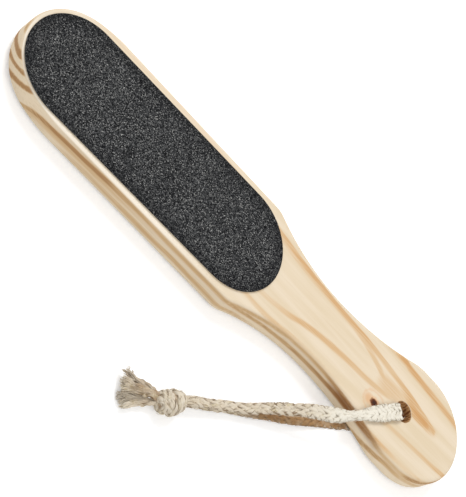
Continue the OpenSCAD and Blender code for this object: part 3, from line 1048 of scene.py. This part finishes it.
def face_wood(nodes, place, wander, fine, streaks):
    """The wood of the faces. Its rings lean as they go down through the board."""
    x, y, z = nodes.split(place)
    depth = nodes.maths("SUBTRACT", z, FACE_Z)
    along = nodes.leaning(x, depth, 2.5)
    across = nodes.leaning(nodes.leaning(y, depth, 0.4), wander, 1.6)
    broad = nodes.noise(place, (0.015, 0.16, 0.16))
    amber = nodes.times(nodes.strokes(along, across, TOP_STROKES), streaks)
    return nodes.over(
        colour(225, 209, 185),
        (nodes.ramp(broad, 0.35, 0.65), colour(218, 200, 171)),
        (nodes.ramp(fine, 0.45, 0.85, 0.0, 0.3), colour(206, 181, 145)),
        (nodes.ramp(amber, 0.0, 0.7), colour(211, 180, 140)),
        (nodes.ramp(amber, 0.55, 1.05, 0.0, 0.9), colour(198, 148, 92)),
    )


def side_wood(nodes, place, wander, fine, streaks):
    """The wood of the sides, where the same rings are cut along their height and round the end."""
    x, y, z = nodes.split(place)
    # The rings of one side run upside down on the other
    middle = (SHEET_THICK + FACE_Z) / 2
    twist = nodes.highest(nodes.maths("MINIMUM", nodes.times(y, 0.125), 1.0), -1.0)
    level = nodes.maths("SUBTRACT", middle, nodes.times(nodes.maths("SUBTRACT", z, middle), twist))
    level = nodes.leaning(level, wander, 1.4)
    slant = nodes.leaning(x, nodes.maths("SUBTRACT", z, 10.0), -1.4)
    slant = nodes.leaning(slant, nodes.maths("ADD", y, 29.0), -0.35)
    slant = nodes.leaning(slant, wander, 3.0)
    dark = nodes.highest(nodes.strokes(x, level, SIDE_STROKES), nodes.curve(slant, END_RINGS))
    dark = nodes.times(dark, streaks)
    grey = nodes.times(nodes.ramp(level, 5.6, 7.4), nodes.ramp(x, -118.0, -96.0))
    dark_patch = nodes.times(nodes.stroke(x, level, *SIDE_DARK_PATCH), 0.9)
    return nodes.over(
        colour(232, 214, 186),
        (grey, colour(224, 206, 180)),
        (nodes.ramp(fine, 0.45, 0.8, 0.0, 0.4), colour(200, 176, 138)),
        (nodes.ramp(dark, 0.0, 0.6), colour(206, 174, 130)),
        (nodes.ramp(dark, 0.45, 1.0, 0.0, 0.9), colour(164, 122, 78)),
        (dark_patch, colour(134, 86, 42)),
    )


def painted_edge_highlight(nodes, place, upright, shade):
    """A painted highlight on the rounded edge of the head and the wood round its sheet, stronger on the
    near side.
    """
    x, y, _ = nodes.split(place)
    highlight = nodes.times(nodes.ring(upright, 0.9, 0.22, 0.4), nodes.ramp(x, 20.0, -60.0))
    highlight = nodes.times(highlight, nodes.ramp(y, 14.0, -6.0, 0.15, 0.75))
    return nodes.mix(highlight, shade, colour(248, 240, 226))


def pin_knot(nodes, place, shade):
    """The pin knot beside the cord, with its halo, a ring round it and a glow on one side."""
    reach = nodes.leaning(nodes.away(place, PIN_KNOT, 0.85), nodes.noise(place, 0.9), 1.6)
    rim = nodes.times(nodes.ring(reach, 6.4, 0.9, 1.2), 0.45)
    glow = nodes.ramp(nodes.away(place, PIN_KNOT_GLOW), 4.2, 1.0, 0.0, 0.8)
    halo = nodes.times(nodes.highest(nodes.ramp(reach, 4.8, 2.6), rim, glow), 0.7)
    return nodes.over(
        shade,
        (halo, colour(214, 156, 98)),
        (nodes.ramp(reach, 3.3, 2.3), colour(104, 54, 26)),
        (nodes.ramp(reach, 2.2, 1.6), colour(66, 34, 20)),
    )


def hole_wall_shade_and_burn(nodes, place, shade):
    """The wall of the hole, in brown streaks: wood burnt by the drill, darkened further with painted
    shade inside the hole.
    """
    wall = nodes.ramp(nodes.away(place, HOLE), HOLE_RADIUS + 0.12, HOLE_RADIUS + 0.02)
    grooves = nodes.ramp(nodes.noise(place, (1.3, 1.3, 0.325), 3.0), 0.35, 0.65)
    return nodes.mix(wall, shade, nodes.mix(grooves, colour(128, 80, 42), colour(206, 160, 108)))


def pine_material():
    """Pale pine, with other rings on its sides than on its faces."""
    material, nodes = new_material("pine")
    place = nodes.place_mm()
    wander = nodes.maths("SUBTRACT", nodes.noise(place, (0.03, 0.1, 0.1), 3.0), 0.5)
    fine = nodes.noise(place, (0.05, 1.5, 1.5), 3.0, 0.6)
    streaks = nodes.ramp(nodes.noise(place, (0.04, 1.5, 1.5), 3.0, 0.6), 0.3, 0.62, 0.68, 1.0)
    face = face_wood(nodes, place, wander, fine, streaks)
    side = side_wood(nodes, place, wander, fine, streaks)
    facing = nodes.add("ShaderNodeTexCoord").outputs["Normal"]
    upright = nodes.maths("ABSOLUTE", nodes.split(facing)[2])
    shade = nodes.mix(nodes.ramp(upright, 0.9, 0.5), face, side)
    # Painted highlight on the head's edge and rim
    shade = painted_edge_highlight(nodes, place, upright, shade)
    shade = pin_knot(nodes, place, shade)
    # The hole's wall: burnt wood with painted shade
    shade = hole_wall_shade_and_burn(nodes, place, shade)
    nodes.surface(shade, 0.62, specular=0.22)
    nodes.bump(fine, 0.05, 0.5)
    return material


pine = pine_material()
make_board()


# The abrasive sheets

SHEET_X = -62.0
SHEET_HALF_LENGTH = 75.0
SHEET_HALF_WIDTH = 26.5
SHEET_STRAIGHT = SHEET_HALF_LENGTH - SHEET_HALF_WIDTH
GLUE_THICK = 0.15
BACKING_THICK = 0.3
GRIT_THICK = 0.45
# The front sheet was glued on a little off the middle and turned
FRONT_SHIFT = -1.0
FRONT_TURN = math.radians(0.6)


def sheet_inside(x, y):
    """How far a place is inside the sheet's outline, which has round ends."""
    return SHEET_HALF_WIDTH - np.hypot(np.maximum(np.abs(x) - SHEET_STRAIGHT, 0), y)


def grain_grid(step, draw):
    """Uneven places a step apart. Those just outside the outline are drawn onto it."""
    xs = np.arange(-SHEET_HALF_LENGTH, SHEET_HALF_LENGTH + step, step)
    ys = np.arange(-SHEET_HALF_WIDTH, SHEET_HALF_WIDTH + step, step)
    x, y = np.meshgrid(xs, ys, indexing="ij")
    x = x + draw.uniform(-0.3, 0.3, x.shape) * step
    y = y + draw.uniform(-0.3, 0.3, y.shape) * step
    inside = sheet_inside(x, y)
    rim = (inside < 0) & (inside > -1.2 * step)
    end = np.clip(np.abs(x) - SHEET_STRAIGHT, 0, None) * np.sign(x)
    pull = np.where(rim, SHEET_HALF_WIDTH / np.maximum(np.hypot(end, y), 1e-6), 1.0)
    return x + end * (pull - 1), y * pull, rim, rim | (inside >= 0)


def make_grit(name, node, low, high, shift, turn, step, rough, material, seed):
    """A coat of grains: a fine grid whose points stand at uneven heights, cut to the outline."""
    draw = np.random.default_rng(seed)
    x, y, rim, use = grain_grid(step, draw)
    facing = 1 if high > low else -1
    sunk = np.where(rim, 0.6, 1 - draw.random(x.shape) ** 2.2)
    points = np.stack([x, y, high - facing * rough * sunk], axis=2)[use]
    points = points @ level_axes(turn) + [SHEET_X, shift, 0]
    index = -np.ones(x.shape, int)
    index[use] = np.arange(use.sum())
    cells = np.stack([index[:-1, :-1], index[1:, :-1], index[1:, 1:], index[:-1, 1:]], axis=2)
    faces = cells[(cells >= 0).all(axis=2)][:, ::facing]
    mesh = bpy.data.meshes.new(name)
    mesh.from_pydata((points * MM).tolist(), [], faces.tolist())
    layer = mesh.attributes.new("inside", "FLOAT", "POINT")
    layer.data.foreach_set("value", sheet_inside(x, y)[use].astype(np.float32))
    close_coat(mesh, low)
    return place_piece(name, mesh, material, "paddle", node)


def close_coat(mesh, low):
    """Gives a coat its cut edge and its flat back."""
    bm = bmesh.new()
    bm.from_mesh(mesh)
    loose = [vertex for vertex in bm.verts if not vertex.link_faces]
    bmesh.ops.delete(bm, geom=loose, context="VERTS")
    edges = [edge for edge in bm.edges if edge.is_boundary]
    wall = bmesh.ops.extrude_edge_only(bm, edges=edges)["geom"]
    for vertex in wall:
        if isinstance(vertex, bmesh.types.BMVert):
            vertex.co.z = low * MM
    foot = [edge for edge in wall if isinstance(edge, bmesh.types.BMEdge) and edge.is_boundary]
    bmesh.ops.contextual_create(bm, geom=foot)
    bmesh.ops.recalc_face_normals(bm, faces=bm.faces)
    bm.to_mesh(mesh)
    bm.free()


def grit_material(name, dark, mid, bright, grain_mm, shine):
    """Bonded abrasive: dark resin with grains of many greys, a few of them bright."""
    material, nodes = new_material(name)
    place = nodes.place_mm()
    cells = nodes.add("ShaderNodeTexVoronoi", {"Vector": place, "Scale": 1 / grain_mm})
    grain, sheen, _ = nodes.split(cells.outputs["Color"])
    clumps = nodes.noise(place, 1 / grain_mm, 3.0, 0.8)
    grey = nodes.times(nodes.ramp(grain, 0.3, 1.0), nodes.ramp(clumps, 0.35, 0.65, 0.5, 1.0))
    sparkle = nodes.times(nodes.ramp(grain, 0.86, 0.95), nodes.ramp(clumps, 0.45, 0.6))
    rim = nodes.ramp(nodes.attribute("inside"), 8.0, 0.0, 0.0, 0.5)
    shade = nodes.over(dark, (grey, mid), (sparkle, bright), (rim, dark))
    nodes.surface(shade, nodes.ramp(sheen, 0.0, 1.0, 0.85, 0.5), specular=shine)
    nodes.bump(nodes.noise(place, 1.2 / grain_mm, 3.0, 0.7), grain_mm * 0.3, 0.7)
    return material


def film_material(name, scale, first, second, roughness, specular, depth_mm):
    """A thin layer under the grit, seen at the sheets' cut edges."""
    material, nodes = new_material(name)
    patches = nodes.noise(nodes.place_mm(), scale)
    nodes.surface(nodes.mix(patches, first, second), roughness, specular)
    nodes.bump(patches, depth_mm)
    return material


def dress(names, material):
    """Gives the frame's own meshes a material."""
    for name in names:
        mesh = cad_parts[name].data
        mesh.materials.clear()
        mesh.materials.append(material)


coarse = grit_material(
    "coarse_grit", dark=colour(1, 2, 5), mid=colour(103, 104, 105), bright=colour(192, 191, 187),
    grain_mm=0.34, shine=0.1,
)
make_grit(
    "coarse_sheet", "front_grit", low=FACE_Z + GLUE_THICK + BACKING_THICK, high=FACE_Z + SHEET_THICK,
    shift=FRONT_SHIFT, turn=FRONT_TURN, step=0.4, rough=0.2, material=coarse, seed=21,
)
fine_grit = grit_material(
    "fine_grit", dark=colour(66, 66, 70), mid=colour(112, 112, 114), bright=colour(176, 176, 172),
    grain_mm=0.3, shine=0.25,
)
make_grit(
    "fine_sheet", "back_grit", low=GRIT_THICK, high=0.0,
    shift=0.0, turn=0.0, step=0.5, rough=0.08, material=fine_grit, seed=22,
)
# Woven cloth filled with resin
cloth = film_material(
    "cloth_backing", (2.4, 2.4, 5.0), colour(168, 160, 146), colour(208, 200, 186), 0.9, 0.15, 0.05
)
dress(("front_backing", "back_backing"), cloth)
# The dried film of glue
glue = film_material("glue", 0.5, colour(206, 184, 146), colour(172, 148, 112), 0.45, 0.4, 0.03)
dress(("front_glue", "back_glue"), glue)


# The floor, the light and the picture

FLOOR_SIZE = 6000 * MM
FLOOR_DROP = 0.3 * MM
FLOOR_GLOW = 0.3
WORLD_LIGHT = 0.62


def make_floor():
    """A pale floor. It glows a little where it is seen, and lights nothing with that."""
    bpy.ops.mesh.primitive_plane_add(size=FLOOR_SIZE, location=(0, 0, -FLOOR_DROP))
    floor = bpy.context.object
    floor.name = "floor"
    material, nodes = new_material("floor")
    nodes.surface(colour(243, 243, 243), 0.9, specular=0.1)
    rays = nodes.add("ShaderNodeLightPath").outputs
    seen = nodes.highest(*[rays[f"Is {kind} Ray"] for kind in ("Camera", "Glossy", "Transmission")])
    nodes.shader.inputs["Emission Color"].default_value = (1, 1, 1, 1)
    nodes.put(nodes.shader.inputs["Emission Strength"], nodes.times(seen, FLOOR_GLOW))
    floor.data.materials.append(material)


def make_world():
    """White where the camera sees it, and a dimmer light on the object."""
    world = bpy.data.worlds.new("studio")
    world.use_nodes = True
    bpy.context.scene.world = world
    nodes = Nodes(world.node_tree)
    background = world.node_tree.nodes["Background"]
    rays = nodes.add("ShaderNodeLightPath").outputs
    nodes.put(background.inputs["Strength"], nodes.highest(rays["Is Camera Ray"], WORLD_LIGHT))
    background.inputs["Color"].default_value = (1, 1, 1, 1)


def make_lamp(name, place, size, power):
    """A round lamp, in metres and watts, that looks at the middle of the board."""
    data = bpy.data.lights.new(name, "AREA")
    data.shape = "DISK"
    data.size = size
    data.energy = power
    lamp = add_object(name, data)
    lamp.location = place
    lamp.rotation_euler = (-Vector(place)).to_track_quat("-Z", "Y").to_euler()


make_floor()
make_world()
make_lamp("key", (-0.35, 0.75, 1.15), size=0.7, power=10.0)
make_lamp("fill", (0.6, -0.7, 1.0), size=0.9, power=4.5)
bpy.context.scene.view_settings.view_transform = "Standard"
